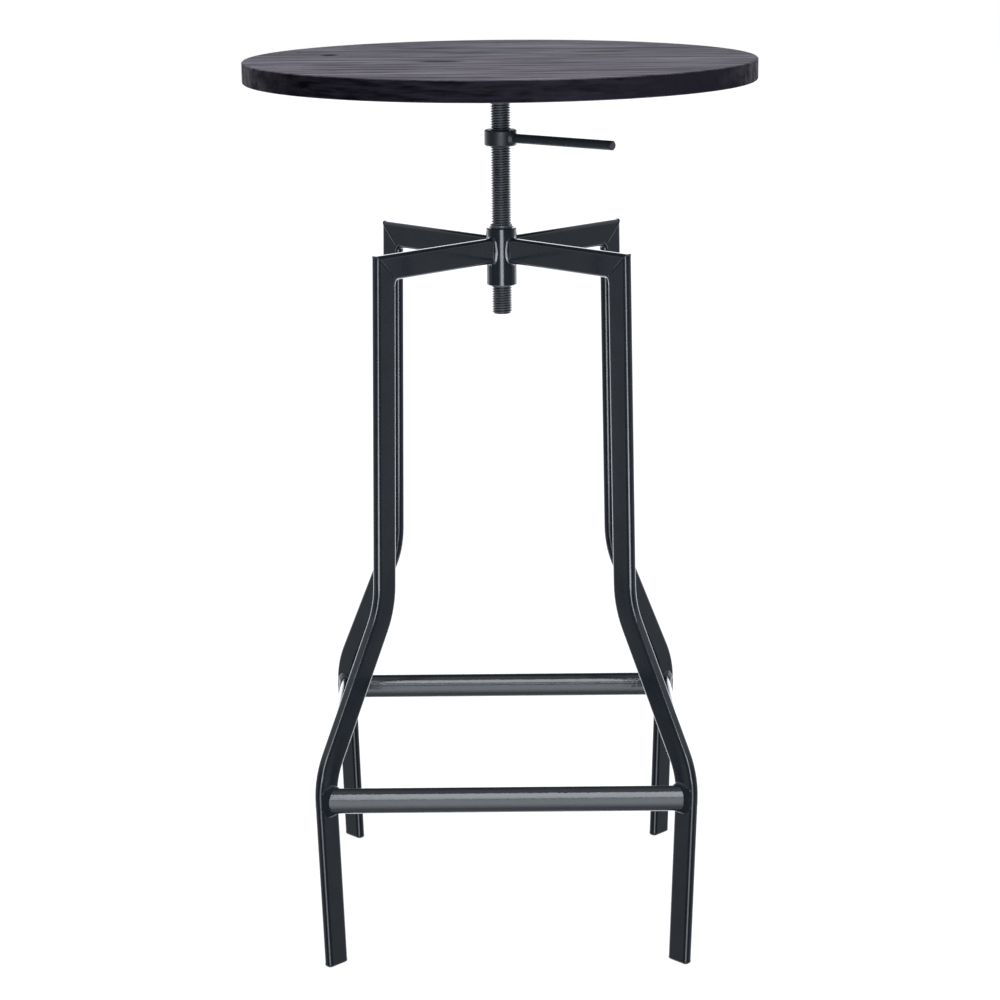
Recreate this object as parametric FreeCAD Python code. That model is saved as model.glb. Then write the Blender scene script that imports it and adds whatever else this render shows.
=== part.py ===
"""Round bar table on a height screw: a glued wooden top, a threaded spindle with a lock nut, and a welded
steel frame of four bent legs joined by four footrest bars. All sizes are in millimetres, +Z is up, the origin
is on the floor under the spindle's axis, and the front of the table faces -Y."""
import FreeCAD, Part
import math
import os

Vector = FreeCAD.Vector

os.makedirs("parts", exist_ok=True)

# Table top, glued from boards that run along X
top_diameter = 600.0
top_thickness = 24.0
top_edge_chamfer = 1.0
board_count = 5

# Mounting plate under the top, and the wood screws that hold it
plate_diameter = 220.0
plate_thickness = 5.0
plate_edge_chamfer = 0.8
plate_screw_count = 6
plate_screw_circle = 160.0
plate_screw_start_angle = 30.0
screw_head_diameter = 9.0
screw_head_height = 2.6
screw_head_round = 1.0
screw_drive_diameter = 3.2
screw_drive_depth = 1.4
screw_shank_diameter = 4.5
screw_point_length = 3.0
screw_grip_length = 15.0
screw_hole_clearance = 0.25
pilot_clearance = 0.02

# Spindle, an M24 screw with a pitch of 3: its run from hub to plate, its tail under the hub, its plain neck
spindle_diameter = 23.6
spindle_run = 168.7
spindle_tail = 34.3
spindle_neck_length = 23.0
thread_pitch = 3.0
thread_depth = 1.84
thread_crest_share = 1 / 8
thread_root_share = 1 / 4
spindle_end_chamfer = 1.5
thread_clearance = 0.05

# Round boss that carries the plate on the spindle
boss_diameter = 36.0
boss_height = 18.0
boss_chamfer = 1.0
boss_clearance = 0.1

# Lock nut: a threaded bush inside a sleeve, with a handle rod in the sleeve's side
lock_nut_diameter = 38.0
lock_nut_height = 18.4
lock_nut_place_share = 0.626
lock_nut_chamfer = 1.2
handle_diameter = 11.0
handle_reach = 161.5
handle_direction = -37.5
handle_socket_depth = 3.0
handle_tip_chamfer = 1.0
handle_clearance = 0.05

# Threaded bushes of the lock nut and the hub
bush_diameter = 30.0
press_clearance = 0.02
bush_bore_chamfer = 0.8

# Hub that carries the spindle in the frame, and the collar of its bush that stands over it
hub_diameter = 36.5
hub_length = 68.5
hub_rise_over_arms = 26.8
hub_chamfer = 1.0
hub_collar_diameter = 26.0
hub_collar_height = 3.0

# Flat tube of the arms and legs with well rounded edges, its width in the leg's own upright plane
tube_width = 30.0
tube_depth = 12.0
tube_corner = 5.0
tube_wall = 1.5

# Centre line of an arm and a leg in the leg's own upright plane: reach from the axis, and height
arm_height = 821.5
arm_reach = 189.5
knee_spread = 9.6
knee_height = 422.0
knee_radius = 105.0
ankle_spread = 98.7
ankle_height = 235.0
ankle_radius = 96.0
foot_draw_in = 9.5

# Footrest bars, a square ring of upright oval tube
footrest_section_height = 31.0
footrest_section_depth = 14.0
footrest_wall = 1.5
footrest_height = 208.0
footrest_inset = 3.0

# Plastic caps in the ends of the legs
cap_rim_height = 4.0
cap_plug_length = 18.0
cap_plug_clearance = 0.15
cap_edge_round = 2.8

# Length by which cutting tools run past what they cut
overrun = 30.0

# Places worked out from the sizes above
knee_reach = arm_reach + knee_spread
ankle_reach = knee_reach + ankle_spread
foot_reach = ankle_reach - foot_draw_in
hub_top_height = arm_height + hub_rise_over_arms
hub_bottom_height = hub_top_height - hub_length
spindle_bottom_height = hub_bottom_height - spindle_tail
spindle_bore = spindle_diameter + 2 * thread_clearance
plate_underside = hub_top_height + spindle_run
top_underside = plate_underside + plate_thickness
lock_nut_middle = hub_top_height + spindle_run * lock_nut_place_share
lock_nut_bottom_height = lock_nut_middle - lock_nut_height / 2
right_angle = 90.0
leg_azimuth = right_angle / 2
corner_names = ["rear_right", "rear_left", "front_left", "front_right"]
up = Vector(0, 0, 1)
sideways = Vector(0, 1, 0)
centre = Vector(0, 0, 0)


def disc(diameter, height, base):
    """Upright cylinder on the axis, standing on the height base."""
    return Part.makeCylinder(diameter / 2, height, Vector(0, 0, base), up)


def chamfered_disc(diameter, height, base, chamfer):
    """Upright cylinder with both rims chamfered."""
    body = disc(diameter, height, base)
    rims = [edge for edge in body.Edges if edge.Curve.TypeId == "Part::GeomCircle"]
    return body.makeChamfer(chamfer, rims)


def bored(body, bore, height, base, chamfer):
    """Body with an upright bore on the axis, countersunk at both ends."""
    body = body.cut(disc(bore, height, base))
    lower = Part.makeCone(bore / 2 + chamfer, bore / 2, chamfer, Vector(0, 0, base), up)
    upper = Part.makeCone(bore / 2, bore / 2 + chamfer, chamfer, Vector(0, 0, base + height - chamfer), up)
    return body.cut(lower).cut(upper)


def turned(outline):
    """Solid made by turning a closed outline of (radius, height) points about the axis."""
    points = [Vector(radius, 0, height) for radius, height in outline]
    face = Part.Face(Part.makePolygon(points + points[:1]))
    return face.revolve(centre, up, 360)


def rounded_outline(width, depth, corner):
    """Rounded rectangle about the origin in the XY plane, as a wire."""
    corners = [(1, 1), (-1, 1), (-1, -1), (1, -1)]
    edges = []
    joints = []
    for turn, (x_side, y_side) in enumerate(corners):
        middle = Vector(x_side * (width / 2 - corner), y_side * (depth / 2 - corner), 0)
        start_angle = math.radians(right_angle * turn)
        spokes = []
        for share in (0, 1 / 2, 1):
            angle = start_angle + math.radians(right_angle) * share
            spokes.append(middle + Vector(math.cos(angle), math.sin(angle), 0) * corner)
        edges.append(Part.Arc(*spokes).toShape())
        joints.append((spokes[0], spokes[2]))
    for turn in range(len(corners)):
        edges.append(Part.LineSegment(joints[turn][1], joints[(turn + 1) % len(corners)][0]).toShape())
    return Part.Wire(Part.__sortEdges__(edges))


def solid_section(inset):
    """Face of the flat tube's section, drawn in by inset all round."""
    outline = rounded_outline(tube_width - 2 * inset, tube_depth - 2 * inset, tube_corner - inset)
    return Part.Face(outline)


def tube_section():
    """Face of the flat tube's wall."""
    return solid_section(0).cut(solid_section(tube_wall)).Faces[0]


def in_plane(reach, height):
    """Point of the leg's own upright plane."""
    return Vector(reach, 0, height)


def set_across(section, place, direction):
    """Section moved to a place on the centre line, square to the line's direction there."""
    across = sideways.cross(direction)
    moved = section.copy()
    moved.Placement = FreeCAD.Placement(place, FreeCAD.Rotation(across, sideways, direction, "ZYX"))
    return moved


def swept(section, corners, radii):
    """Section carried along straight runs that are joined by round bends."""
    pieces = []
    start = corners[0]
    for before, corner, after, radius in zip(corners, corners[1:], corners[2:], radii):
        incoming = (corner - before).normalize()
        outgoing = (after - corner).normalize()
        turn = incoming.getAngle(outgoing)
        set_back = radius * math.tan(turn / 2)
        bend_start = corner - incoming * set_back
        axis = incoming.cross(outgoing).normalize()
        bend_centre = bend_start + axis.cross(incoming) * radius
        pieces.append(set_across(section, start, incoming).extrude(bend_start - start))
        bend = set_across(section, bend_start, incoming)
        pieces.append(bend.revolve(bend_centre, axis, math.degrees(turn)))
        start = corner + outgoing * set_back
    last = (corners[-1] - start).normalize()
    pieces.append(set_across(section, start, last).extrude(corners[-1] - start))
    return pieces[0].fuse(pieces[1:]) if len(pieces) > 1 else pieces[0]


def half_space(place, normal):
    """Large block on the side of a plane that its normal points to."""
    size = 2 * (arm_reach + hub_top_height)
    block = Part.makeBox(size, size, size, Vector(-size / 2, -size / 2, 0))
    block.Placement = FreeCAD.Placement(place, FreeCAD.Rotation(up, normal))
    return block


def at_corner(body, name):
    """Body turned from the leg's own upright plane to one corner of the table."""
    turned_body = body.copy()
    turned_body.rotate(centre, up, leg_azimuth + right_angle * corner_names.index(name))
    return turned_body


arm_end = in_plane(arm_reach, arm_height)
knee = in_plane(knee_reach, knee_height)
ankle = in_plane(ankle_reach, ankle_height)
foot = in_plane(foot_reach, 0)
outward = Vector(1, 0, 0)
down_the_leg = (knee - arm_end).normalize()
down_the_foot = (foot - ankle).normalize()
mitre_normal = (outward + down_the_leg).normalize()


def make_top_boards():
    """Boards of the round top, with pilot holes for the plate's screws."""
    slab = chamfered_disc(top_diameter, top_thickness, top_underside, top_edge_chamfer)
    for place in screw_places():
        hole_diameter = screw_shank_diameter + 2 * pilot_clearance
        base = Vector(place.x, place.y, top_underside)
        slab = slab.cut(Part.makeCylinder(hole_diameter / 2, screw_grip_length, base, up))
    board_width = top_diameter / board_count
    boards = {}
    for index in range(board_count):
        front_edge = -top_diameter / 2 + index * board_width
        rear_edge = front_edge + board_width
        if index == 0:
            front_edge -= overrun
        if index == board_count - 1:
            rear_edge += overrun
        corner = Vector(-top_diameter / 2 - overrun, front_edge, top_underside - overrun)
        length = top_diameter + 2 * overrun
        strip = Part.makeBox(length, rear_edge - front_edge, top_thickness + 2 * overrun, corner)
        boards[f"top_board_{index + 1}"] = slab.common(strip)
    return boards


def screw_places():
    """Points on the plate's underside where its screws stand."""
    places = []
    for index in range(plate_screw_count):
        angle = math.radians(plate_screw_start_angle + 360 * index / plate_screw_count)
        reach = plate_screw_circle / 2
        places.append(Vector(reach * math.cos(angle), reach * math.sin(angle), plate_underside))
    return places


def make_plate():
    """Round steel plate with the spindle's hole and the screw holes."""
    plate = chamfered_disc(plate_diameter, plate_thickness, plate_underside, plate_edge_chamfer)
    plate = plate.cut(disc(spindle_bore, plate_thickness, plate_underside))
    hole_diameter = screw_shank_diameter + 2 * screw_hole_clearance
    for place in screw_places():
        plate = plate.cut(Part.makeCylinder(hole_diameter / 2, plate_thickness, place, up))
    return plate


def make_plate_screws():
    """Wood screws with round heads, one solid for each."""
    shank_radius = screw_shank_diameter / 2
    shank_length = plate_thickness + screw_grip_length - screw_point_length
    screws = []
    for place in screw_places():
        head_base = place - up * screw_head_height
        head = Part.makeCylinder(screw_head_diameter / 2, screw_head_height, head_base, up)
        rim = min(head.Edges, key=lambda edge: edge.CenterOfMass.z)
        head = head.makeFillet(screw_head_round, [rim])
        drive = Part.makeCylinder(screw_drive_diameter / 2, screw_drive_depth, head_base, up)
        shank = Part.makeCylinder(shank_radius, shank_length, place, up)
        point = Part.makeCone(shank_radius, 0, screw_point_length, place + up * shank_length, up)
        screws.append(head.cut(drive).fuse([shank, point]).removeSplitter())
    return Part.makeCompound(screws)


def make_spindle():
    """Spindle with its thread drawn as rings of the true pitch and depth, and a plain neck over them."""
    crest_radius = spindle_diameter / 2
    root_radius = crest_radius - thread_depth
    neck_underside = plate_underside - spindle_neck_length
    flank = thread_pitch * (1 - thread_crest_share - thread_root_share) / 2
    crest = thread_pitch * thread_crest_share
    root = thread_pitch * thread_root_share
    end_radius = crest_radius - spindle_end_chamfer
    outline = [(0, spindle_bottom_height), (end_radius, spindle_bottom_height)]
    outline.append((crest_radius, spindle_bottom_height + spindle_end_chamfer))
    threaded_length = neck_underside - spindle_bottom_height - spindle_end_chamfer
    ring_count = int(threaded_length / thread_pitch)
    for index in range(ring_count):
        height = spindle_bottom_height + spindle_end_chamfer + index * thread_pitch
        outline.append((crest_radius, height + crest))
        outline.append((root_radius, height + crest + flank))
        outline.append((root_radius, height + crest + flank + root))
        outline.append((crest_radius, height + thread_pitch))
    outline.append((crest_radius, top_underside))
    outline.append((0, top_underside))
    return turned(outline)


def make_boss():
    """Round boss under the plate."""
    base = plate_underside - boss_clearance - boss_height
    boss = chamfered_disc(boss_diameter, boss_height, base, boss_chamfer)
    return boss.cut(disc(spindle_bore, boss_height, base))


def make_lock_bush():
    """Threaded bush of the lock nut, its thread drawn as a plain bore round the spindle."""
    bush = disc(bush_diameter, lock_nut_height, lock_nut_bottom_height)
    return bored(bush, spindle_bore, lock_nut_height, lock_nut_bottom_height, bush_bore_chamfer)


def make_hub_bush():
    """Threaded bush of the hub with its collar, its thread drawn as a plain bore round the spindle."""
    height = hub_length + hub_collar_height
    bush = disc(bush_diameter, hub_length, hub_bottom_height)
    bush = bush.fuse(disc(hub_collar_diameter, height, hub_bottom_height))
    return bored(bush, spindle_bore, height, hub_bottom_height, bush_bore_chamfer)


def handle_axis():
    """Direction in which the handle points."""
    angle = math.radians(handle_direction)
    return Vector(math.cos(angle), math.sin(angle), 0)


def make_lock_sleeve():
    """Sleeve of the lock nut with a blind socket for the handle."""
    sleeve = chamfered_disc(lock_nut_diameter, lock_nut_height, lock_nut_bottom_height, lock_nut_chamfer)
    bore = bush_diameter + 2 * thread_clearance
    sleeve = sleeve.cut(disc(bore, lock_nut_height, lock_nut_bottom_height))
    socket_start = handle_axis() * (lock_nut_diameter / 2 - handle_socket_depth) + up * lock_nut_middle
    socket_radius = handle_diameter / 2 + handle_clearance
    return sleeve.cut(Part.makeCylinder(socket_radius, handle_reach, socket_start, handle_axis()))


def make_handle():
    """Straight handle rod, chamfered at its tip."""
    inner_end = lock_nut_diameter / 2 - handle_socket_depth
    length = handle_reach - inner_end
    start = handle_axis() * inner_end + up * lock_nut_middle
    rod = Part.makeCylinder(handle_diameter / 2, length, start, handle_axis())
    tip = max(rod.Edges, key=lambda edge: edge.CenterOfMass.dot(handle_axis()))
    return rod.makeChamfer(handle_tip_chamfer, [tip])


def make_hub():
    """Hub tube that the four arms are welded to."""
    hub = chamfered_disc(hub_diameter, hub_length, hub_bottom_height, hub_chamfer)
    return hub.cut(disc(bush_diameter + 2 * press_clearance, hub_length, hub_bottom_height))


def make_arm():
    """Arm from the hub to its mitre, in the leg's own upright plane."""
    run = [in_plane(0, arm_height), in_plane(arm_reach + tube_width, arm_height)]
    arm = swept(tube_section(), run, [])
    arm = arm.cut(disc(hub_diameter, hub_length, hub_bottom_height))
    return arm.cut(half_space(arm_end, mitre_normal))


def leg_body(section):
    """Leg from its mitre to the top of its foot cap, in its own upright plane, with the section given."""
    over_mitre = arm_end - down_the_leg * tube_width
    under_floor = foot + down_the_foot * overrun
    leg = swept(section, [over_mitre, knee, ankle, under_floor], [knee_radius, ankle_radius])
    leg = leg.cut(half_space(arm_end, mitre_normal * -1))
    return leg.cut(half_space(in_plane(0, cap_rim_height), up * -1))


def make_cap():
    """Foot cap: a rim under the leg's end and a plug in the tube."""
    high = foot - down_the_foot * (cap_rim_height + cap_plug_length)
    low = foot + down_the_foot * overrun
    rim = swept(solid_section(0), [high, low], [])
    rim = rim.cut(half_space(in_plane(0, cap_rim_height), up))
    rim = rim.cut(half_space(foot, up * -1))
    bottom = min(rim.Faces, key=lambda face: face.CenterOfMass.z)
    rim = rim.makeFillet(cap_edge_round, bottom.Edges)
    plug = swept(solid_section(tube_wall + cap_plug_clearance), [high, foot], [])
    plug = plug.cut(half_space(in_plane(0, cap_rim_height), up * -1))
    return rim.fuse(plug)


def footrest_offset():
    """Distance of the footrest bars from the axis, a little inside the middle of the legs' wide faces."""
    share = (ankle_height - footrest_height) / ankle_height
    reach = ankle_reach + (foot_reach - ankle_reach) * share
    side_step = tube_depth / 2 * math.sin(math.radians(leg_azimuth))
    return reach * math.cos(math.radians(leg_azimuth)) + side_step - footrest_inset


def oval_bar(inset, start, length):
    """Bar of upright oval section along X, drawn in by inset all round."""
    top_point = start + up * (footrest_section_height / 2 - inset)
    side_point = start + sideways * (footrest_section_depth / 2 - inset)
    outline = Part.Wire(Part.Ellipse(top_point, side_point, start).toShape())
    return Part.Face(outline).extrude(Vector(length, 0, 0))


def make_footrest_bars():
    """Footrest bars, which end on the legs' wide faces."""
    offset = footrest_offset()
    half_length = offset + footrest_section_depth
    start = Vector(-half_length, -offset, footrest_height)
    bar = oval_bar(0, start, 2 * half_length).cut(oval_bar(footrest_wall, start, 2 * half_length))
    leg = leg_body(solid_section(0))
    for name, side in (("front_left", -1), ("front_right", 1)):
        mitre = Vector(side * math.cos(math.radians(leg_azimuth)), math.sin(math.radians(leg_azimuth)), 0)
        bar = bar.cut(half_space(centre, mitre))
        bar = bar.cut(at_corner(leg, name))
    bar = max(bar.Solids, key=lambda solid: solid.Volume)
    bars = {}
    for turn, side_name in enumerate(("front", "right", "rear", "left")):
        turned_bar = bar.copy()
        turned_bar.rotate(centre, up, right_angle * turn)
        bars[f"footrest_{side_name}"] = turned_bar
    return bars


nodes = {}
nodes.update(make_top_boards())
nodes["mounting_plate"] = make_plate()
nodes["plate_screws"] = make_plate_screws()
nodes["spindle"] = make_spindle()
nodes["spindle_boss"] = make_boss()
nodes["lock_nut_bush"] = make_lock_bush()
nodes["lock_nut_sleeve"] = make_lock_sleeve()
nodes["lock_handle"] = make_handle()
nodes["hub_tube"] = make_hub()
nodes["hub_bush"] = make_hub_bush()
arm = make_arm()
leg = leg_body(tube_section())
cap = make_cap()
for corner_name in corner_names:
    nodes[f"arm_{corner_name}"] = at_corner(arm, corner_name)
    nodes[f"leg_{corner_name}"] = at_corner(leg, corner_name)
    nodes[f"foot_cap_{corner_name}"] = at_corner(cap, corner_name)
nodes.update(make_footrest_bars())

for name, shape in nodes.items():
    shape.exportStep(f"parts/{name}.step")
    print(name, len(shape.Solids), "solid", shape.isValid(), round(shape.Volume))
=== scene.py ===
"""Looks of the bar table: dark stained boards on a threaded spindle, over a black powder-coated frame."""
import math

import bmesh
import bpy
from mathutils import Matrix, Vector


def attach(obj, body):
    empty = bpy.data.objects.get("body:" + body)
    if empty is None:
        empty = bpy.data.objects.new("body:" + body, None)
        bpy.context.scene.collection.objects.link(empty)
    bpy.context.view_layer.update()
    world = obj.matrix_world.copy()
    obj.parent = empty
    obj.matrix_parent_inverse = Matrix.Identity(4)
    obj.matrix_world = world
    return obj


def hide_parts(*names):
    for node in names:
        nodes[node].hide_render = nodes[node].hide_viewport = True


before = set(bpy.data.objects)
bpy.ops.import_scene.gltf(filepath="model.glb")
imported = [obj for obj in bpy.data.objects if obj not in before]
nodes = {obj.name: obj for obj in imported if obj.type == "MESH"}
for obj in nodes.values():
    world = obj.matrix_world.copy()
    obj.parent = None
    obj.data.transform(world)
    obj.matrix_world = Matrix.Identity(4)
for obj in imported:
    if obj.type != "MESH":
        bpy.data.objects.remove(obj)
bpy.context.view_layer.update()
scene = bpy.context.scene

CORNERS = ("front_right", "rear_right", "rear_left", "front_left")
SIDES = ("front", "right", "rear", "left")
BOARDS = tuple(f"top_board_{number}" for number in range(1, 6))

# Sizes of the table, in metres
TOP_SURFACE = 1.046
TOP_RADIUS = 0.3
BOARD_WIDTH = 0.12
SPINDLE_BOTTOM = 0.7455
SPINDLE_TOP = 1.022
NECK_UNDERSIDE = 0.993
NECK_BEVEL = 0.0004
CREST_RADIUS = 0.0118
ROOT_RADIUS = 0.00996
PITCH = 0.003
HUB_RADIUS = 0.01825
NUT_RADIUS = 0.019
NUT_MIDDLE = 0.953906
HANDLE_RADIUS = 0.0055
HANDLE_ANGLE = math.radians(-37.5)
BOSS_RADIUS = 0.018
PLATE_UNDERSIDE = 1.017
TUBE_WIDTH = 0.03
TUBE_DEPTH = 0.012
TUBE_CORNER = 0.005
ARM_HEIGHT = 0.8215
ARM_REACH = 0.1895
KNEE_REACH = 0.1991
KNEE_HEIGHT = 0.422
FOOTREST_HEIGHT = 0.208
FOOTREST_TALL = 0.0155
FOOTREST_DEEP = 0.007
FOOTREST_OFFSET = 0.211047
LEG_REACH_AT_FOOTREST = 0.296709

# Floor: half its width, and how far it lies under the feet, in metres
FLOOR_HALF = 12
FLOOR_DROP = 0.0002

# Directions in a frame whose X points along an arm
UP = Vector((0, 0, 1))
ARM_WAY = Vector((1, 0, 0))
LEG_WAY = (Vector((KNEE_REACH, 0, KNEE_HEIGHT)) - Vector((ARM_REACH, 0, ARM_HEIGHT))).normalized()

# Points of one mesh closer than this are joined, in metres
JOIN_DISTANCE = 1e-6

# How deep the edges of a weld bead lie under the surfaces that they meet, in metres
EDGE_SINK = 0.00005

# Unevenness of a hand-made weld: size, waves in one round and shift of each part
UNEVEN_WAVES = ((0.5, 3, 1), (0.3, 7, 2.3), (0.2, 13, 4.1))

# Weld of an arm on the hub: its legs at the tube's corners and what they gain on the sides, above and below
HUB_WELD_LEG = 0.0012
HUB_WELD_SIDES = 0.0028
HUB_WELD_ENDS = 0.0018
HUB_WELD_ARM_SHARE = 0.85

# Weld of the handle on the lock nut: its legs along the handle and round the nut
HANDLE_WELD_LEGS = (0.0033, 0.0031)

# Welds of the footrest: legs on the bar and on the leg's face, what they gain inside, above and outside,
# and how far from the leg's middle line they may reach
BAR_LEG = 0.0035
BAR_LEG_INSIDE = 0.0015
FACE_LEG = 0.0036
FACE_LEG_ABOVE = 0.0008
FACE_LEG_OUTSIDE = 0.0056
FACE_REACH = 0.0145

# Mitres of arms and legs: radius of the inner corner, how far it runs on and sinks in past its ends,
# and the low bead's half width, its height and what that gains over the outer corner
FILLET_RADIUS = 0.0045
FILLET_RUN_OUT = 0.002
FILLET_SINK = 0.00025
MITRE_BEAD_HALF = 0.0018
MITRE_BEAD_LOW = 0.0007
MITRE_BEAD_OUTSIDE = 0.0016

BOSS_WELD_LEG = 0.003

# Colours, linear: the first and the second of a pair are the two ends of a mix
COAT_TONES = ((0.0125, 0.0163, 0.0206), (0.0155, 0.0198, 0.0248))
OXIDE_ROOT = (0.0020, 0.0023, 0.0030)
OXIDE_CREST = ((0.050, 0.056, 0.066), (0.082, 0.091, 0.104))
ZINC_TONES = ((0.40, 0.40, 0.41), (0.52, 0.52, 0.53))
PLASTIC_TONES = ((0.008, 0.008, 0.009), (0.012, 0.012, 0.013))
STAIN_TONES = ((0.0660, 0.0530, 0.0750), (0.1960, 0.1570, 0.2090))
STREAK_COLOUR = (0.0320, 0.0280, 0.0390)
RING_COLOUR = (0.0300, 0.0270, 0.0370)
PORE_COLOUR = (0.0200, 0.0180, 0.0240)
KNOT_COLOUR = (0.0060, 0.0050, 0.0070)
RIM_TONES = ((0.0026, 0.0022, 0.0036), (0.0225, 0.0195, 0.0278))
END_GRAIN_TONES = ((0.0185, 0.0162, 0.0240), (0.0082, 0.0071, 0.0108))
FLOOR_GREY = (0.4, 0.4, 0.4, 1.0)
FLOOR_GLOW = (1.0, 1.0, 1.0, 1.0)
FLOOR_GLOW_STRENGTH = 0.85

# Roughness of each surface, at the low and the high end of its noise
COAT_ROUGHNESS = (0.08, 0.14)
SATIN_ROUGHNESS = (0.42, 0.50)
OXIDE_ROUGHNESS = (0.38, 0.46)
ZINC_ROUGHNESS = (0.25, 0.4)
PLASTIC_ROUGHNESS = (0.45, 0.55)
WOOD_ROUGHNESS = (0.50, 0.68)

# Strength of reflections: of the coats, of the wood beside and in its streaks, and the rim's share of that
COAT_SPECULAR = 0.5
SATIN_SPECULAR = 0.34
WOOD_SPECULAR = (0.075, 0.010)
RIM_SPECULAR_SHARE = 0.25

# Depth of fine relief, in metres
PEEL_DEPTH = 0.00003
PLASTIC_GRAIN_DEPTH = 0.00005
WOOD_GRAIN_DEPTH = 0.00035

# Levels between which a noise goes from its one end to the other
NARROW = (0.35, 0.65)
WIDE = (0.3, 0.7)

# Radii between which the thread's oxide goes from dark to worn, in metres
WORN_RADII = (0.0103, 0.0113)

# Scales of the wood's noises along X, Y and Z
WANDER_SCALE = (3, 16, 16)
STREAK_SCALE = (6, 66, 66)
BAND_SCALE = (2.2, 20, 20)
PORE_SCALE = (30, 900, 900)
MOTTLE_SCALE = (30, 30, 240)

# Levels of the wood's noises at which each layer begins and is full
STAIN_EDGE = (0.34, 0.66)
STREAK_EDGE = (0.47, 0.62)
PORE_EDGE = (0.50, 0.64)
RING_EDGE = (-0.3, 1.0)
KNOT_EDGE = (0.8, 1.8)
MOTTLE_EDGE = (0.26, 0.80)
GLOSS_EDGE = (0.40, 0.64)

# Levels of the normal's Z between rim and face, and of its X where the boards' right and left ends begin
FACE_EDGE = (0.6, 0.8)
RIGHT_END = (0.42, 0.62)
LEFT_END = (-0.95, -0.75)

# Shares of the wood's layers where they are full, and of streaks and pores in the knots' edges and relief
STREAK_SHARE = 0.82
RING_SHARE = 0.25
PORE_SHARE = 0.50
KNOT_RAGGEDNESS = 0.8
RELIEF_OF_STREAKS = 0.6
RELIEF_OF_PORES = 0.4

# Slopes of painted light: the face lighter from the back to the front, and painted shade that makes the rim
# darker from right to left
FACE_PAINTED_LIGHT_SLOPE = 0.35
RIM_PAINTED_SHADE_SLOPE = 0.16

# Pith of each board's tree: how far behind the middle of the board and how far under the top's surface
PITHS = ((0.080, 0.050), (0.072, 0.062), (-0.050, 0.048), (0.064, 0.066), (-0.078, 0.055))
RING_SPACING = 0.0023
RING_WANDER = 0.014

# Knots and dark dashes of the top: place in x and y, half length and half width in metres, and strength
KNOTS = (
    (-0.203, 0.066, 0.0110, 0.0140, 0.95),
    (-0.068, -0.046, 0.0280, 0.0110, 0.90),
    (-0.090, -0.030, 0.0420, 0.0070, 0.45),
    (0.190, 0.142, 0.0560, 0.0110, 0.55),
    (0.120, 0.086, 0.0330, 0.0120, 0.65),
    (0.040, 0.100, 0.0300, 0.0070, 0.30),
    (-0.150, 0.110, 0.0500, 0.0060, 0.35),
    (0.050, -0.130, 0.0700, 0.0040, 0.30),
    (-0.110, -0.185, 0.0600, 0.0040, 0.35),
)

# Colour of the lamps and of the room
COOL_WHITE = (0.91, 0.94, 1.0)

# Strength of the room's light, and of the room's parts in reflections
ROOM_LIGHT = 0.7
REFLECTED_FRONT = 0.05
REFLECTED_SIDES = 0.40
REFLECTED_BACK = 2.8
REFLECTED_UPPER = 0.8
REFLECTED_CEILING = 0.4
REFLECTED_FLOOR = 3.7
REFLECTED_UNDERFOOT = 0.8

# Soft edges of those parts: levels of a direction's depth (minus one in front, one behind) or height
FRONT_TO_SIDES = (-0.20, -0.06)
SIDES_TO_BACK = (0.2, 0.7)
FLOOR_IN_FRONT = (-0.965, -0.935)
UNDERFOOT_TO_FLOOR = (-0.80, -0.50)
FLOOR_TO_WALLS = (-0.195, -0.165)
WALLS_TO_UPPER = (0.12, 0.42)
UPPER_TO_CEILING = (0.72, 0.86)

# Lamps: name, place, target, width, height and radiance
LAMPS = (
    ("key", (0.15, -4.0, 0.82), (0.15, 0, 0.82), 1.5, 1.6, 7.8),
    ("far_front", (0.18, -3.1, 0.01), (0.18, -3.1, 1.0), 1.30, 1.8, 7.0),
    ("middle_front", (0.15, -1.85, 0.01), (0.15, -1.85, 1.0), 1.30, 0.7, 5.5),
)


def set_camera():
    """Camera of the photograph: its place in metres, its aim in degrees and its lens in millimetres."""
    place = Vector((0.00015, -2.9991, 1.2769))
    pitch = math.radians(14.2585)
    yaw = math.radians(0.0917)
    roll = math.radians(-0.5443)
    camera = bpy.data.objects.new("camera", bpy.data.cameras.new("camera"))
    camera.data.sensor_width = 36
    camera.data.lens = 91.59
    turned = Matrix.Rotation(yaw, 4, "Z")
    tilted = Matrix.Rotation(math.pi / 2 - pitch, 4, "X")
    rolled = Matrix.Rotation(roll, 4, "Z")
    aim = turned @ tilted @ rolled
    camera.matrix_world = Matrix.Translation(place) @ aim
    scene.collection.objects.link(camera)
    scene.camera = camera


class NodeTree:
    """Node tree of a material or of the world, with short ways to add its nodes."""

    def __init__(self, tree):
        self.tree = tree

    def add(self, kind, **settings):
        """New node of a kind, with its settings."""
        node = self.tree.nodes.new(kind)
        for key, value in settings.items():
            setattr(node, key, value)
        return node

    def feed(self, socket, value):
        """Links a node's output to a socket, or sets a plain value on it."""
        if isinstance(value, bpy.types.NodeSocket):
            self.tree.links.new(value, socket)
        else:
            socket.default_value = value

    def math(self, operation, first, second=0.0):
        """Result of an operation on one or two values."""
        node = self.add("ShaderNodeMath", operation=operation)
        self.feed(node.inputs[0], first)
        self.feed(node.inputs[1], second)
        return node.outputs[0]

    def sum_of_squares(self, first, second):
        """Squares of two values, added."""
        return self.math("ADD", self.math("POWER", first, 2.0), self.math("POWER", second, 2.0))

    def spread(self, value, low, high, out_low=0.0, out_high=1.0):
        """Value mapped from one range to another and held inside it."""
        node = self.add("ShaderNodeMapRange")
        self.feed(node.inputs["Value"], value)
        settings = {"From Min": low, "From Max": high, "To Min": out_low, "To Max": out_high}
        for key, setting in settings.items():
            self.feed(node.inputs[key], setting)
        return node.outputs["Result"]

    def parts(self, vector):
        """X, Y and Z of a vector socket."""
        node = self.add("ShaderNodeSeparateXYZ")
        self.feed(node.inputs["Vector"], vector)
        return node.outputs["X"], node.outputs["Y"], node.outputs["Z"]


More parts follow.
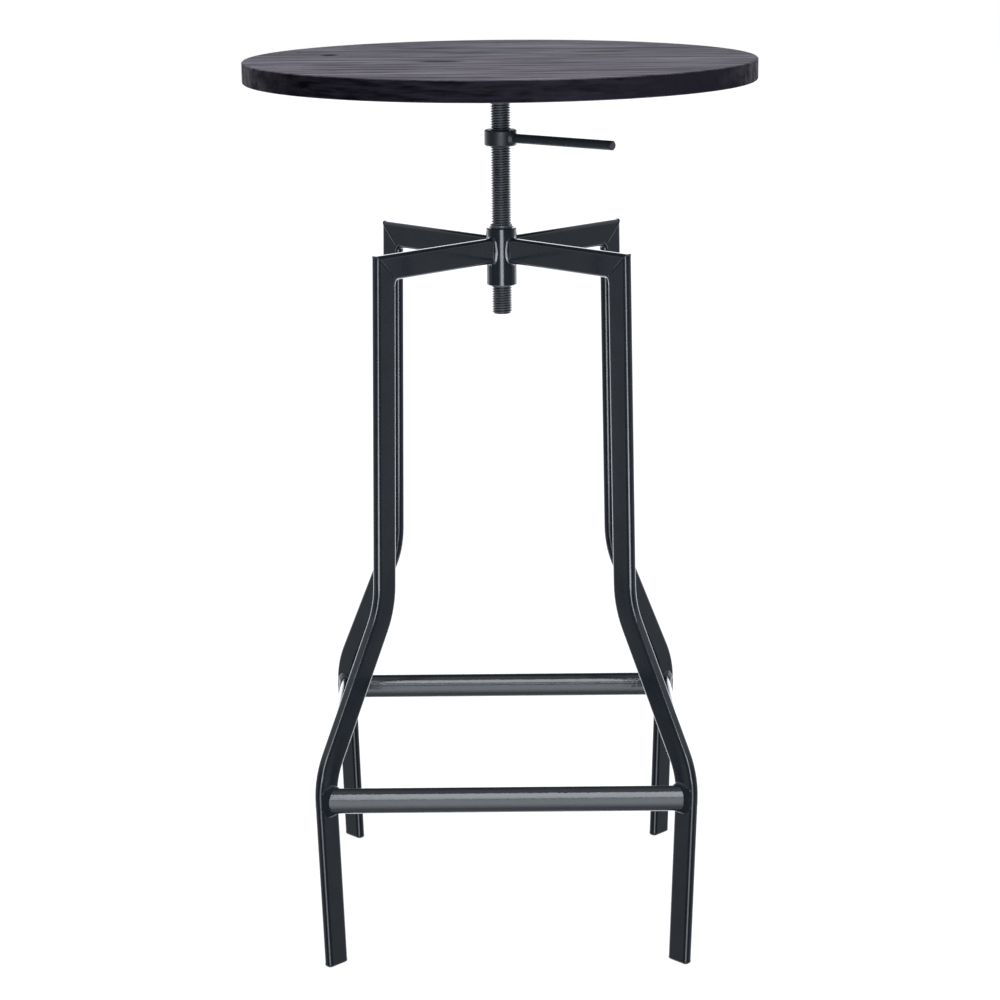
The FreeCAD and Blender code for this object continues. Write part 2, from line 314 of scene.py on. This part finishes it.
class Shading(NodeTree):
    """Node tree of one material with a principled shader."""

    def __init__(self, name):
        self.material = bpy.data.materials.new(name)
        self.material.use_nodes = True
        super().__init__(self.material.node_tree)
        self.inputs = self.tree.nodes["Principled BSDF"].inputs
        self.place = self.add("ShaderNodeTexCoord").outputs["Object"]

    def surface(self, colour, roughness):
        """Colour and roughness of the shader."""
        self.feed(self.inputs["Base Color"], colour)
        self.feed(self.inputs["Roughness"], roughness)

    def specular(self, level):
        """Strength of the shader's reflections, 0.5 for a usual one."""
        self.feed(self.inputs["Specular IOR Level"], level)

    def stretched(self, scale, shift=(0.0, 0.0, 0.0)):
        """Object coordinates with a scale and a shift of their own along each axis."""
        node = self.add("ShaderNodeMapping")
        self.feed(node.inputs["Vector"], self.place)
        node.inputs["Scale"].default_value = scale
        node.inputs["Location"].default_value = shift
        return node.outputs["Vector"]

    def noise(self, vector, scale=1.0, detail=2.0, roughness=0.5):
        """Soft noise between 0 and 1."""
        node = self.add("ShaderNodeTexNoise")
        self.feed(node.inputs["Vector"], vector)
        node.inputs["Scale"].default_value = scale
        node.inputs["Detail"].default_value = detail
        node.inputs["Roughness"].default_value = roughness
        return node.outputs["Fac"]

    def mix(self, share, first, second):
        """Mix of two colours, each given as a triple or as a socket."""
        node = self.add("ShaderNodeMix", data_type="RGBA")
        self.feed(node.inputs["Factor"], share)
        for name, value in (("A", first), ("B", second)):
            sockets = [socket for socket in node.inputs if socket.name == name and socket.type == "RGBA"]
            self.feed(sockets[0], value if isinstance(value, bpy.types.NodeSocket) else (*value, 1.0))
        return [socket for socket in node.outputs if socket.type == "RGBA"][0]

    def bump(self, height, distance):
        """Relief of the surface, as deep as the distance in metres."""
        node = self.add("ShaderNodeBump")
        self.feed(node.inputs["Height"], height)
        node.inputs["Distance"].default_value = distance
        node.inputs["Strength"].default_value = 1.0
        self.feed(self.inputs["Normal"], node.outputs["Normal"])


def coat_material(name, roughness, specular):
    """Black powder coat: a fine orange peel, and thin variation of tone and gloss."""
    shading = Shading(name)
    cloud = shading.noise(shading.place, scale=45, detail=3)
    gloss = shading.noise(shading.place, scale=160)
    peel = shading.noise(shading.place, scale=900)
    colour = shading.mix(shading.spread(cloud, *NARROW), *COAT_TONES)
    shading.surface(colour, shading.spread(gloss, *WIDE, *roughness))
    shading.specular(specular)
    shading.bump(peel, PEEL_DEPTH)
    return shading.material


def oxide_material():
    """Black oxide on the threads: grey on the worn crests and dark down in the roots."""
    shading = Shading("black_oxide")
    x, y = shading.parts(shading.place)[:2]
    radius = shading.math("SQRT", shading.sum_of_squares(x, y))
    wear = shading.spread(radius, *WORN_RADII)
    cloud = shading.noise(shading.place, scale=120, detail=3)
    crest = shading.mix(shading.spread(cloud, *NARROW), *OXIDE_CREST)
    shading.surface(shading.mix(wear, OXIDE_ROOT, crest), shading.spread(cloud, *WIDE, *OXIDE_ROUGHNESS))
    return shading.material


def screw_material():
    """Zinc plating with a faint variation of tone and gloss."""
    shading = Shading("zinc_plating")
    cloud = shading.noise(shading.place, scale=400, detail=3)
    shading.surface(shading.mix(cloud, *ZINC_TONES), shading.spread(cloud, *WIDE, *ZINC_ROUGHNESS))
    shading.feed(shading.inputs["Metallic"], 1.0)
    return shading.material


def plastic_material():
    """Moulded black plastic with a fine grain."""
    shading = Shading("foot_plastic")
    grain = shading.noise(shading.place, scale=700)
    shading.surface(shading.mix(grain, *PLASTIC_TONES), shading.spread(grain, *WIDE, *PLASTIC_ROUGHNESS))
    shading.bump(grain, PLASTIC_GRAIN_DEPTH)
    return shading.material


def growth_rings(shading, board, y, z):
    """Rings round the pith of one board's tree, between 0 and 1."""
    behind, under = PITHS[board]
    pith_y = -TOP_RADIUS + (board + 0.5) * BOARD_WIDTH + behind
    pith_z = TOP_SURFACE - under
    across = shading.math("SUBTRACT", y, pith_y)
    above = shading.math("SUBTRACT", z, pith_z)
    wander = shading.noise(shading.stretched(WANDER_SCALE, (board * 3.7, 0, board)), detail=3)
    radius = shading.math("SQRT", shading.sum_of_squares(across, above))
    radius = shading.math("ADD", radius, shading.math("MULTIPLY", wander, RING_WANDER))
    wave = shading.math("SINE", shading.math("MULTIPLY", radius, 2 * math.pi / RING_SPACING))
    return shading.spread(wave, *RING_EDGE)


def knot_shade(shading, x, y, streak):
    """Share of the knots' colour: ovals with ragged edges that fade out."""
    shade = 0.0
    for knot_x, knot_y, length, width, strength in KNOTS:
        along = shading.math("DIVIDE", shading.math("SUBTRACT", x, knot_x), length)
        across = shading.math("DIVIDE", shading.math("SUBTRACT", y, knot_y), width)
        distance = shading.sum_of_squares(along, across)
        ragged = shading.math("ADD", distance, shading.math("MULTIPLY", streak, KNOT_RAGGEDNESS))
        shade = shading.math("MAXIMUM", shade, shading.spread(ragged, *KNOT_EDGE, strength, 0.0))
    return shade


def face_colour(shading, board, y, rings, streak, pore, knots):
    """Stain on the wide faces, lighter in bands, with painted light that makes them lighter to the front,
    under streaks, rings, pores and knots.
    """
    band_place = shading.stretched(BAND_SCALE, (board * 5.1, board * 2.0, 0))
    band = shading.noise(band_place, detail=3, roughness=0.55)
    # painted light: the faces are made lighter toward the front
    light = shading.math("SUBTRACT", band, shading.math("MULTIPLY", y, FACE_PAINTED_LIGHT_SLOPE))
    colour = shading.mix(shading.spread(light, *STAIN_EDGE), *STAIN_TONES)
    layers = (
        (shading.spread(streak, *STREAK_EDGE, 0.0, STREAK_SHARE), STREAK_COLOUR),
        (shading.math("MULTIPLY", rings, RING_SHARE), RING_COLOUR),
        (shading.spread(pore, *PORE_EDGE, 0.0, PORE_SHARE), PORE_COLOUR),
        (knots, KNOT_COLOUR),
    )
    for share, tint in layers:
        colour = shading.mix(share, colour, tint)
    return colour


def rim_colour(shading, board, rings, normal_x):
    """Mottled stain on the rim, with painted shade that darkens its left side, and the cut ends of the
    growth rings to the right and left.
    """
    mottle_place = shading.stretched(MOTTLE_SCALE, (board, 0, 0))
    mottle = shading.noise(mottle_place, detail=4, roughness=0.6)
    # painted shade: the rim's stain is darkened by the normal's X, so its left side is darker
    mottle = shading.math("ADD", mottle, shading.math("MULTIPLY", normal_x, RIM_PAINTED_SHADE_SLOPE))
    side = shading.mix(shading.spread(mottle, *MOTTLE_EDGE), *RIM_TONES)
    right_end = shading.spread(normal_x, *RIGHT_END)
    left_end = shading.spread(normal_x, *LEFT_END, 1.0, 0.0)
    end_grain = shading.mix(rings, *END_GRAIN_TONES)
    return shading.mix(shading.math("MAXIMUM", right_end, left_end), side, end_grain)


def wood_material(board):
    """Dark stained softwood of one board, with its grain along X."""
    shading = Shading(f"stained_wood_{board + 1}")
    x, y, z = shading.parts(shading.place)
    normal = shading.parts(shading.add("ShaderNodeTexCoord").outputs["Normal"])
    streak_place = shading.stretched(STREAK_SCALE, (board * 1.3, 0, 0))
    streak = shading.noise(streak_place, detail=6, roughness=0.66)
    pore = shading.noise(shading.stretched(PORE_SCALE), roughness=0.6)
    rings = growth_rings(shading, board, y, z)
    knots = knot_shade(shading, x, y, streak)

    face = face_colour(shading, board, y, rings, streak, pore, knots)
    rim = rim_colour(shading, board, rings, normal[0])
    on_face = shading.spread(shading.math("ABSOLUTE", normal[2]), *FACE_EDGE)
    shading.surface(shading.mix(on_face, rim, face), shading.spread(streak, *WIDE, *WOOD_ROUGHNESS))

    gloss = shading.spread(streak, *GLOSS_EDGE, *WOOD_SPECULAR)
    gloss = shading.math("MULTIPLY", gloss, shading.math("SUBTRACT", 1.0, knots))
    gloss = shading.math("MULTIPLY", gloss, shading.spread(on_face, 0.0, 1.0, RIM_SPECULAR_SHARE, 1.0))
    shading.specular(gloss)
    of_streaks = shading.math("MULTIPLY", streak, RELIEF_OF_STREAKS)
    of_pores = shading.math("MULTIPLY", pore, RELIEF_OF_PORES)
    shading.bump(shading.math("ADD", of_streaks, of_pores), WOOD_GRAIN_DEPTH)
    return shading.material


def dress(names, material):
    """Gives CAD nodes a material."""
    for name in names:
        node = nodes[name]
        node.data.materials.clear()
        node.data.materials.append(material)


def finished(mesh_data, name, material, body):
    """Turns a bmesh into a piece with a material that rides on a body."""
    bmesh.ops.remove_doubles(mesh_data, verts=mesh_data.verts, dist=JOIN_DISTANCE)
    bmesh.ops.recalc_face_normals(mesh_data, faces=mesh_data.faces)
    mesh = bpy.data.meshes.new(name)
    mesh_data.to_mesh(mesh)
    mesh_data.free()
    for polygon in mesh.polygons:
        polygon.use_smooth = True
    mesh.materials.append(material)
    piece = bpy.data.objects.new(name, mesh)
    scene.collection.objects.link(piece)
    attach(piece, body)
    return piece


def ring_band(mesh_data, rings, closed):
    """Skin from ring to ring of points, which goes round to the first ring or is capped at both ends."""
    loops = [[mesh_data.verts.new(point) for point in ring] for ring in rings]
    pairs = list(zip(loops, loops[1:]))
    if closed:
        pairs.append((loops[-1], loops[0]))
    for first, second in pairs:
        for index in range(len(first)):
            following = (index + 1) % len(first)
            mesh_data.faces.new((first[index], first[following], second[following], second[index]))
    if not closed:
        mesh_data.faces.new(loops[0])
        mesh_data.faces.new(loops[-1])


def corner_angle(index):
    """Direction of an arm and its leg round the axis, in the order of the corners."""
    return math.radians(-45 + 90 * index)


def round_angles(steps):
    """Angles of even steps round a circle."""
    return [2 * math.pi * step / steps for step in range(steps)]


def thread_rows(mesh_data, profile, steps):
    """Rows of points that each climb one turn, from below the spindle's end to past its neck."""
    turns = int((NECK_UNDERSIDE - SPINDLE_BOTTOM) / PITCH) + 2
    rows = []
    for turn in range(-1, turns):
        for rise, radius in profile:
            row = []
            for step, angle in enumerate(round_angles(steps)):
                height = SPINDLE_BOTTOM + (turn + step / steps) * PITCH + rise
                height = min(max(height, SPINDLE_BOTTOM), NECK_UNDERSIDE)
                room = min(height - SPINDLE_BOTTOM, NECK_UNDERSIDE - height)
                reach = min(radius, ROOT_RADIUS + room)
                row.append(mesh_data.verts.new((reach * math.cos(angle), reach * math.sin(angle), height)))
            rows.append(row)
    return rows


def make_thread(material):
    """Helical thread of the spindle, chamfered at both ends."""
    steps = 48
    crest = PITCH / 8
    root = PITCH / 4
    flank = (PITCH - crest - root) / 2
    profile = (
        (0.0, CREST_RADIUS),
        (crest, CREST_RADIUS),
        (crest + flank, ROOT_RADIUS),
        (crest + flank + root, ROOT_RADIUS),
    )
    mesh_data = bmesh.new()
    rows = thread_rows(mesh_data, profile, steps)
    for number, (lower, upper) in enumerate(zip(rows, rows[1:])):
        for step in range(steps - 1):
            mesh_data.faces.new((lower[step], lower[step + 1], upper[step + 1], upper[step]))
        turn_above = number + len(profile)
        if turn_above + 1 < len(rows):
            mesh_data.faces.new((lower[-1], rows[turn_above][0], rows[turn_above + 1][0], upper[-1]))
    bmesh.ops.remove_doubles(mesh_data, verts=mesh_data.verts, dist=JOIN_DISTANCE)
    edges = [edge for edge in mesh_data.edges if len(edge.link_faces) == 1]
    lower_edges = [edge for edge in edges if edge.verts[0].co.z < SPINDLE_BOTTOM + PITCH]
    upper_edges = [edge for edge in edges if edge.verts[0].co.z > NECK_UNDERSIDE - PITCH]
    bmesh.ops.edgeloop_fill(mesh_data, edges=lower_edges)
    bmesh.ops.edgeloop_fill(mesh_data, edges=upper_edges)
    return finished(mesh_data, "threaded_spindle", material, "table_top")


def make_neck(material):
    """Plain neck of the spindle, bevelled where the thread ends."""
    levels = (
        (NECK_UNDERSIDE, CREST_RADIUS - NECK_BEVEL),
        (NECK_UNDERSIDE + NECK_BEVEL, CREST_RADIUS),
        (SPINDLE_TOP, CREST_RADIUS),
    )
    angles = round_angles(steps=64)
    rings = []
    for height, radius in levels:
        rings.append([(radius * math.cos(angle), radius * math.sin(angle), height) for angle in angles])
    mesh_data = bmesh.new()
    ring_band(mesh_data, rings, False)
    finished(mesh_data, "spindle_neck", material, "table_top")


def unevenness(share, seed):
    """Slow hand-made variation round a weld, between about -1 and 1."""
    turn = 2 * math.pi * share
    return sum(size * math.sin(waves * turn + shift * seed) for size, waves, shift in UNEVEN_WAVES)


def weld(name, stations, material, body, bulge, steps=7):
    """Weld bead along stations of (corner, end on one piece, end on the other, point inside both).

    A bead with a bulge of 0 is drawn to the corner, one with 1 is flat, and one with more swells outward.
    """
    rings = []
    for corner, first, second, inside in stations:
        control = corner + ((first + second) / 2 - corner) * bulge
        ring = []
        for step in range(steps + 1):
            share = step / steps
            pull = control * (2 * share * (1 - share))
            ring.append(first * (1 - share) ** 2 + pull + second * share ** 2)
        ring.append(inside)
        rings.append(ring)
    mesh_data = bmesh.new()
    ring_band(mesh_data, rings, True)
    finished(mesh_data, name, material, body)


def tube_outline(side_steps):
    """Points and outward normals round the section of the arms and legs, a rounded rectangle."""
    corner_steps = 7
    middle_x = TUBE_DEPTH / 2 - TUBE_CORNER
    middle_y = TUBE_WIDTH / 2 - TUBE_CORNER
    quarters = ((1, 1), (-1, 1), (-1, -1), (1, -1))
    middles = [Vector((x_side * middle_x, y_side * middle_y)) for x_side, y_side in quarters]
    outline = []
    for index, middle in enumerate(middles):
        for step in range(corner_steps + 1):
            angle = math.pi / 2 * (index + step / corner_steps)
            normal = Vector((math.cos(angle), math.sin(angle)))
            outline.append((middle + normal * TUBE_CORNER, normal))
        start, normal = outline[-1]
        end = middles[(index + 1) % len(middles)] + normal * TUBE_CORNER
        for step in range(1, side_steps):
            outline.append((start.lerp(end, step / side_steps), normal))
    return outline


def collar_stations(outline, legs, radius, height, angle, seed):
    """Stations of a weld where a tube or rod meets an upright cylinder on the axis.

    The legs are pairs, one for each point of the outline: along the tube or rod, and round the cylinder.
    """
    swell_share = 0.16
    inside_tube = 0.0009
    inside_cylinder = 0.0012
    along = Vector((math.cos(angle), math.sin(angle), 0))
    across = Vector((-math.sin(angle), math.cos(angle), 0))

    def spot(side, rise, extra):
        return along * (math.sqrt(radius ** 2 - side ** 2) + extra) + across * side + UP * (height + rise)

    stations = []
    for index, (point, normal) in enumerate(outline):
        swell = 1 + swell_share * unevenness(index / len(outline), seed)
        leg_out, leg_round = legs[index]
        on_round = point + normal * leg_round * swell
        inner = point - normal * inside_tube
        corner = spot(point.x, point.y, 0)
        sink = (across * normal.x + UP * normal.y) * EDGE_SINK
        first = spot(point.x, point.y, leg_out * swell) - sink
        second = spot(on_round.x, on_round.y, -EDGE_SINK)
        stations.append((corner, first, second, spot(inner.x, inner.y, -inside_cylinder)))
    return stations


def hub_weld_legs(point, normal):
    """Full in the middle of the arm's sides and above and below it, and drawn in at its corners."""
    flat = 1 - (point.y / (TUBE_WIDTH / 2)) ** 2
    leg = HUB_WELD_LEG + HUB_WELD_SIDES * max(flat, 0) + HUB_WELD_ENDS * normal.y ** 4
    return leg * HUB_WELD_ARM_SHARE, leg


def make_frame_welds(material):
    """Welds of the four arms on the hub."""
    outline = tube_outline(side_steps=14)
    legs = [hub_weld_legs(point, normal) for point, normal in outline]
    for index, corner in enumerate(CORNERS):
        angle = corner_angle(index)
        stations = collar_stations(outline, legs, HUB_RADIUS, ARM_HEIGHT, angle, seed=1.7 * index)
        weld(f"hub_weld_{corner}", stations, material, "frame", bulge=0.55)


def make_handle_weld(material):
    """Weld of the handle on the lock nut."""
    outline = []
    for angle in round_angles(steps=40):
        normal = Vector((math.cos(angle), math.sin(angle)))
        outline.append((normal * HANDLE_RADIUS, normal))
    legs = [HANDLE_WELD_LEGS] * len(outline)
    stations = collar_stations(outline, legs, NUT_RADIUS, NUT_MIDDLE, HANDLE_ANGLE, seed=0.4)
    weld("handle_weld", stations, material, "lock_grip", bulge=0.9)


def footrest_station(angle, end, swell):
    """Station of a weld at one end of the front bar, at an angle round the bar's oval section."""
    inside_depth = 0.0008
    least_slant = 0.2
    along = Vector((-end, 0, 0))
    face_normal = Vector((-end, -1, 0)).normalized()
    outward = Vector((end, -1, 0)).normalized()
    beside = TUBE_DEPTH / 2
    reach = (FOOTREST_OFFSET + FOOTREST_DEEP * math.cos(angle)) * math.sqrt(2) - beside
    rise = FOOTREST_HEIGHT + FOOTREST_TALL * math.sin(angle)
    corner = outward * reach + face_normal * beside + UP * rise
    section = Vector((0, -math.cos(angle) / FOOTREST_DEEP, math.sin(angle) / FOOTREST_TALL)).normalized()
    spread = (section - face_normal * section.dot(face_normal)).normalized()

    outer = 0.5 + 0.5 * math.cos(angle)
    on_bar = (BAR_LEG + BAR_LEG_INSIDE * (1 - outer)) * swell
    on_leg = (FACE_LEG + FACE_LEG_ABOVE * math.sin(angle) + FACE_LEG_OUTSIDE * outer ** 3) * swell
    reach_left = LEG_REACH_AT_FOOTREST + FACE_REACH - reach
    on_leg = min(on_leg, reach_left / max(spread.dot(outward), least_slant))

    first = corner + along * on_bar - section * EDGE_SINK
    second = corner + spread * on_leg
    flat_end = LEG_REACH_AT_FOOTREST + TUBE_WIDTH / 2 - TUBE_CORNER
    past_flat = min(max(second.dot(outward) - flat_end, 0), TUBE_CORNER)
    drop = TUBE_CORNER - math.sqrt(TUBE_CORNER ** 2 - past_flat ** 2)
    second -= face_normal * (drop + EDGE_SINK)
    inside = corner - section * inside_depth - face_normal * inside_depth
    return corner, first, second, inside


def make_footrest_welds(material):
    """Welds of the footrest bars' ends on the wide faces of the legs."""
    swell_share = 0.20
    angles = round_angles(steps=48)
    for side, name in enumerate(SIDES):
        turn = Matrix.Rotation(math.pi / 2 * side, 3, "Z")
        for end, end_name in ((-1, "start"), (1, "end")):
            stations = []
            for step, angle in enumerate(angles):
                swell = 1 + swell_share * unevenness(step / len(angles), 1.9 * side + end)
                stations.append(tuple(turn @ point for point in footrest_station(angle, end, swell)))
            weld(f"footrest_weld_{name}_{end_name}", stations, material, "frame", bulge=1.35)


def fillet_section():
    """Half round section of the tube's inner side: points to the side, and back from its crown."""
    corner_steps = 6
    half = TUBE_DEPTH / 2 - TUBE_CORNER
    points = []
    for step in range(corner_steps + 1):
        angle = math.pi / 2 * step / corner_steps
        points.append((half + TUBE_CORNER * math.sin(angle), TUBE_CORNER * (1 - math.cos(angle))))
    return [(-side, back) for side, back in reversed(points)] + points


def make_mitre_fillets(material):
    """Rounded inner corners where the arms are welded to the legs."""
    steps = 10
    inward = Vector((LEG_WAY.z, 0, -LEG_WAY.x))
    slope = math.acos(-LEG_WAY.z)
    underside = ARM_HEIGHT - TUBE_WIDTH / 2
    inner_line = Vector((ARM_REACH, 0, ARM_HEIGHT)) + inward * (TUBE_WIDTH / 2)
    corner_x = inner_line.x + LEG_WAY.x / -LEG_WAY.z * (inner_line.z - underside)
    corner = Vector((corner_x, 0, underside))
    opening = math.pi / 2 - slope
    tangent = FILLET_RADIUS / math.tan(opening / 2)
    middle = Vector((corner.x - tangent, 0, corner.z - FILLET_RADIUS))
    section = fillet_section()
    stops = [(step / steps, Vector((0, 0, 0)), 0.0) for step in range(steps + 1)]
    stops.insert(0, (0, ARM_WAY * -FILLET_RUN_OUT, FILLET_SINK))
    stops.append((1, LEG_WAY * FILLET_RUN_OUT, FILLET_SINK))
    for index, name in enumerate(CORNERS):
        turn = Matrix.Rotation(corner_angle(index), 3, "Z")
        rings = []
        for share, run_out, sink in stops:
            angle = math.pi / 2 - share * (math.pi - opening)
            away = Vector((math.cos(angle), 0, math.sin(angle)))
            ring = []
            for side, back in section:
                point = middle + away * (FILLET_RADIUS + back + sink) + Vector((0, side, 0)) + run_out
                ring.append(turn @ point)
            rings.append(ring)
        mesh_data = bmesh.new()
        ring_band(mesh_data, rings, False)
        finished(mesh_data, f"mitre_fillet_{name}", material, "frame")


def make_mitre_welds(material):
    """Low weld beads round the mitres, which stand up most over the outer corners."""
    swell_share = 0.25
    inside_depth = 0.0009
    edge_sink = 0.00004
    plane = (ARM_WAY + LEG_WAY).normalized()
    outward = (ARM_WAY - LEG_WAY).normalized()
    rise_step = UP - ARM_WAY * (plane.z / plane.x)
    outline = tube_outline(side_steps=10)
    for index, name in enumerate(CORNERS):
        turn = Matrix.Rotation(corner_angle(index), 3, "Z")
        stations = []
        for place, (point, normal) in enumerate(outline):
            swell = 1 + swell_share * unevenness(place / len(outline), 2.1 * index + 0.7)
            spot = Vector((ARM_REACH, point.x, ARM_HEIGHT)) + rise_step * point.y
            away = (Vector((0, normal.x, 0)) + outward * normal.y).normalized()
            crown = spot + away * ((MITRE_BEAD_LOW + MITRE_BEAD_OUTSIDE * max(normal.y, 0) ** 2) * swell)
            on_arm = spot - ARM_WAY * MITRE_BEAD_HALF * swell - away * edge_sink
            on_leg = spot + LEG_WAY * MITRE_BEAD_HALF * swell - away * edge_sink
            station = (crown, on_arm, on_leg, spot - away * inside_depth)
            stations.append(tuple(turn @ part for part in station))
        weld(f"mitre_weld_{name}", stations, material, "frame", bulge=0.0)


def make_boss_weld(material):
    """Round fillet weld of the boss under the mounting plate."""
    swell_share = 0.08
    inside_depth = 0.0008
    angles = round_angles(steps=72)
    down = -UP
    stations = []
    for step, angle in enumerate(angles):
        out = Vector((math.cos(angle), math.sin(angle), 0))
        size = BOSS_WELD_LEG * (1 + swell_share * unevenness(step / len(angles), 2.6))
        corner = out * BOSS_RADIUS + UP * PLATE_UNDERSIDE
        inside = corner - out * inside_depth - down * inside_depth
        stations.append((corner, corner + down * size, corner + out * size, inside))
    weld("boss_weld", stations, material, "table_top", bulge=0.9, steps=5)


def direction_levels(room):
    """Height of the direction looked in, and its depth once it is laid level."""
    direction = room.add("ShaderNodeTexCoord").outputs["Generated"]
    height = room.parts(direction)[2]
    flat = room.add("ShaderNodeVectorMath", operation="MULTIPLY")
    room.feed(flat.inputs[0], direction)
    room.feed(flat.inputs[1], (1, 1, 0))
    level = room.add("ShaderNodeVectorMath", operation="NORMALIZE")
    room.feed(level.inputs[0], flat.outputs[0])
    depth = room.parts(level.outputs[0])[1]
    return height, depth


def set_world():
    """White for the camera, a plain pale room for the light, and a studio for reflections."""
    world = bpy.data.worlds.new("world")
    world.use_nodes = True
    room = NodeTree(world.node_tree)
    background = room.tree.nodes["Background"]
    height, depth = direction_levels(room)

    sides = room.spread(depth, *FRONT_TO_SIDES, REFLECTED_FRONT, REFLECTED_SIDES)
    walls = room.spread(depth, *SIDES_TO_BACK, sides, REFLECTED_BACK)
    floor_glow = room.spread(height, *UNDERFOOT_TO_FLOOR, REFLECTED_UNDERFOOT, REFLECTED_FLOOR)
    floor_share = room.spread(depth, *FLOOR_IN_FRONT, 1.0, 0.0)
    lower = room.math("MAXIMUM", walls, room.math("MULTIPLY", floor_glow, floor_share))
    lower = room.spread(height, *FLOOR_TO_WALLS, lower, walls)
    upper = room.spread(height, *WALLS_TO_UPPER, lower, REFLECTED_UPPER)
    reflected = room.spread(height, *UPPER_TO_CEILING, upper, REFLECTED_CEILING)

    rays = room.add("ShaderNodeLightPath").outputs
    unseen = room.spread(rays["Is Glossy Ray"], 0, 1, ROOM_LIGHT, reflected)
    room.feed(background.inputs["Strength"], room.spread(rays["Is Camera Ray"], 0, 1, unseen, 1.0))
    tint = room.add("ShaderNodeCombineColor")
    for channel, share in zip(("Red", "Green", "Blue"), COOL_WHITE):
        room.feed(tint.inputs[channel], room.spread(rays["Is Camera Ray"], 0, 1, share, 1.0))
    room.feed(background.inputs["Color"], tint.outputs["Color"])
    scene.world = world


def add_lamp(name, place, target, width, height, radiance):
    """Soft rectangular lamp that faces a target, with its brightness given as radiance."""
    lamp = bpy.data.lights.new(name, "AREA")
    lamp.shape = "RECTANGLE"
    lamp.size = width
    lamp.size_y = height
    lamp.energy = radiance * math.pi * width * height
    lamp.color = COOL_WHITE
    holder = bpy.data.objects.new(name, lamp)
    holder.location = place
    holder.rotation_euler = (Vector(target) - Vector(place)).to_track_quat("-Z", "Y").to_euler()
    holder.visible_camera = False
    scene.collection.objects.link(holder)


def add_floor():
    """Pale floor, which the camera sees as white but for the table's soft shadow.

    It is hidden from reflections, which show the world's floor in its place.
    """
    mesh = bpy.data.meshes.new("floor")
    corners = ((-1, -1), (1, -1), (1, 1), (-1, 1))
    points = [(x_side * FLOOR_HALF, y_side * FLOOR_HALF, 0) for x_side, y_side in corners]
    mesh.from_pydata(points, [], [(0, 1, 2, 3)])
    floor = bpy.data.objects.new("floor", mesh)
    floor.location.z = -FLOOR_DROP
    floor.visible_glossy = False
    scene.collection.objects.link(floor)
    shading = Shading("floor")
    seen = shading.add("ShaderNodeLightPath").outputs["Is Camera Ray"]
    shading.surface(FLOOR_GREY, 1.0)
    shading.specular(0.0)
    shading.feed(shading.inputs["Emission Color"], FLOOR_GLOW)
    glow = shading.math("MULTIPLY", seen, FLOOR_GLOW_STRENGTH)
    shading.feed(shading.inputs["Emission Strength"], glow)
    mesh.materials.append(shading.material)


scene.view_settings.view_transform = "Standard"
set_camera()
set_world()
add_floor()
for lamp_values in LAMPS:
    add_lamp(*lamp_values)

coat = coat_material("powder_coat", COAT_ROUGHNESS, COAT_SPECULAR)
satin_coat = coat_material("satin_coat", SATIN_ROUGHNESS, SATIN_SPECULAR)
oxide = oxide_material()
plastic = plastic_material()
dress(nodes, coat)
for board_index, board_name in enumerate(BOARDS):
    dress([board_name], wood_material(board_index))
dress(["lock_nut_bush", "hub_bush"], oxide)
dress(["lock_nut_sleeve", "lock_handle"], satin_coat)
dress(["plate_screws"], screw_material())
dress([f"foot_cap_{corner}" for corner in CORNERS], plastic)

thread = make_thread(oxide)
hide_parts("spindle")
make_neck(oxide)
make_frame_welds(coat)
make_handle_weld(satin_coat)
make_footrest_welds(coat)
make_mitre_fillets(coat)
make_mitre_welds(coat)
make_boss_weld(coat)
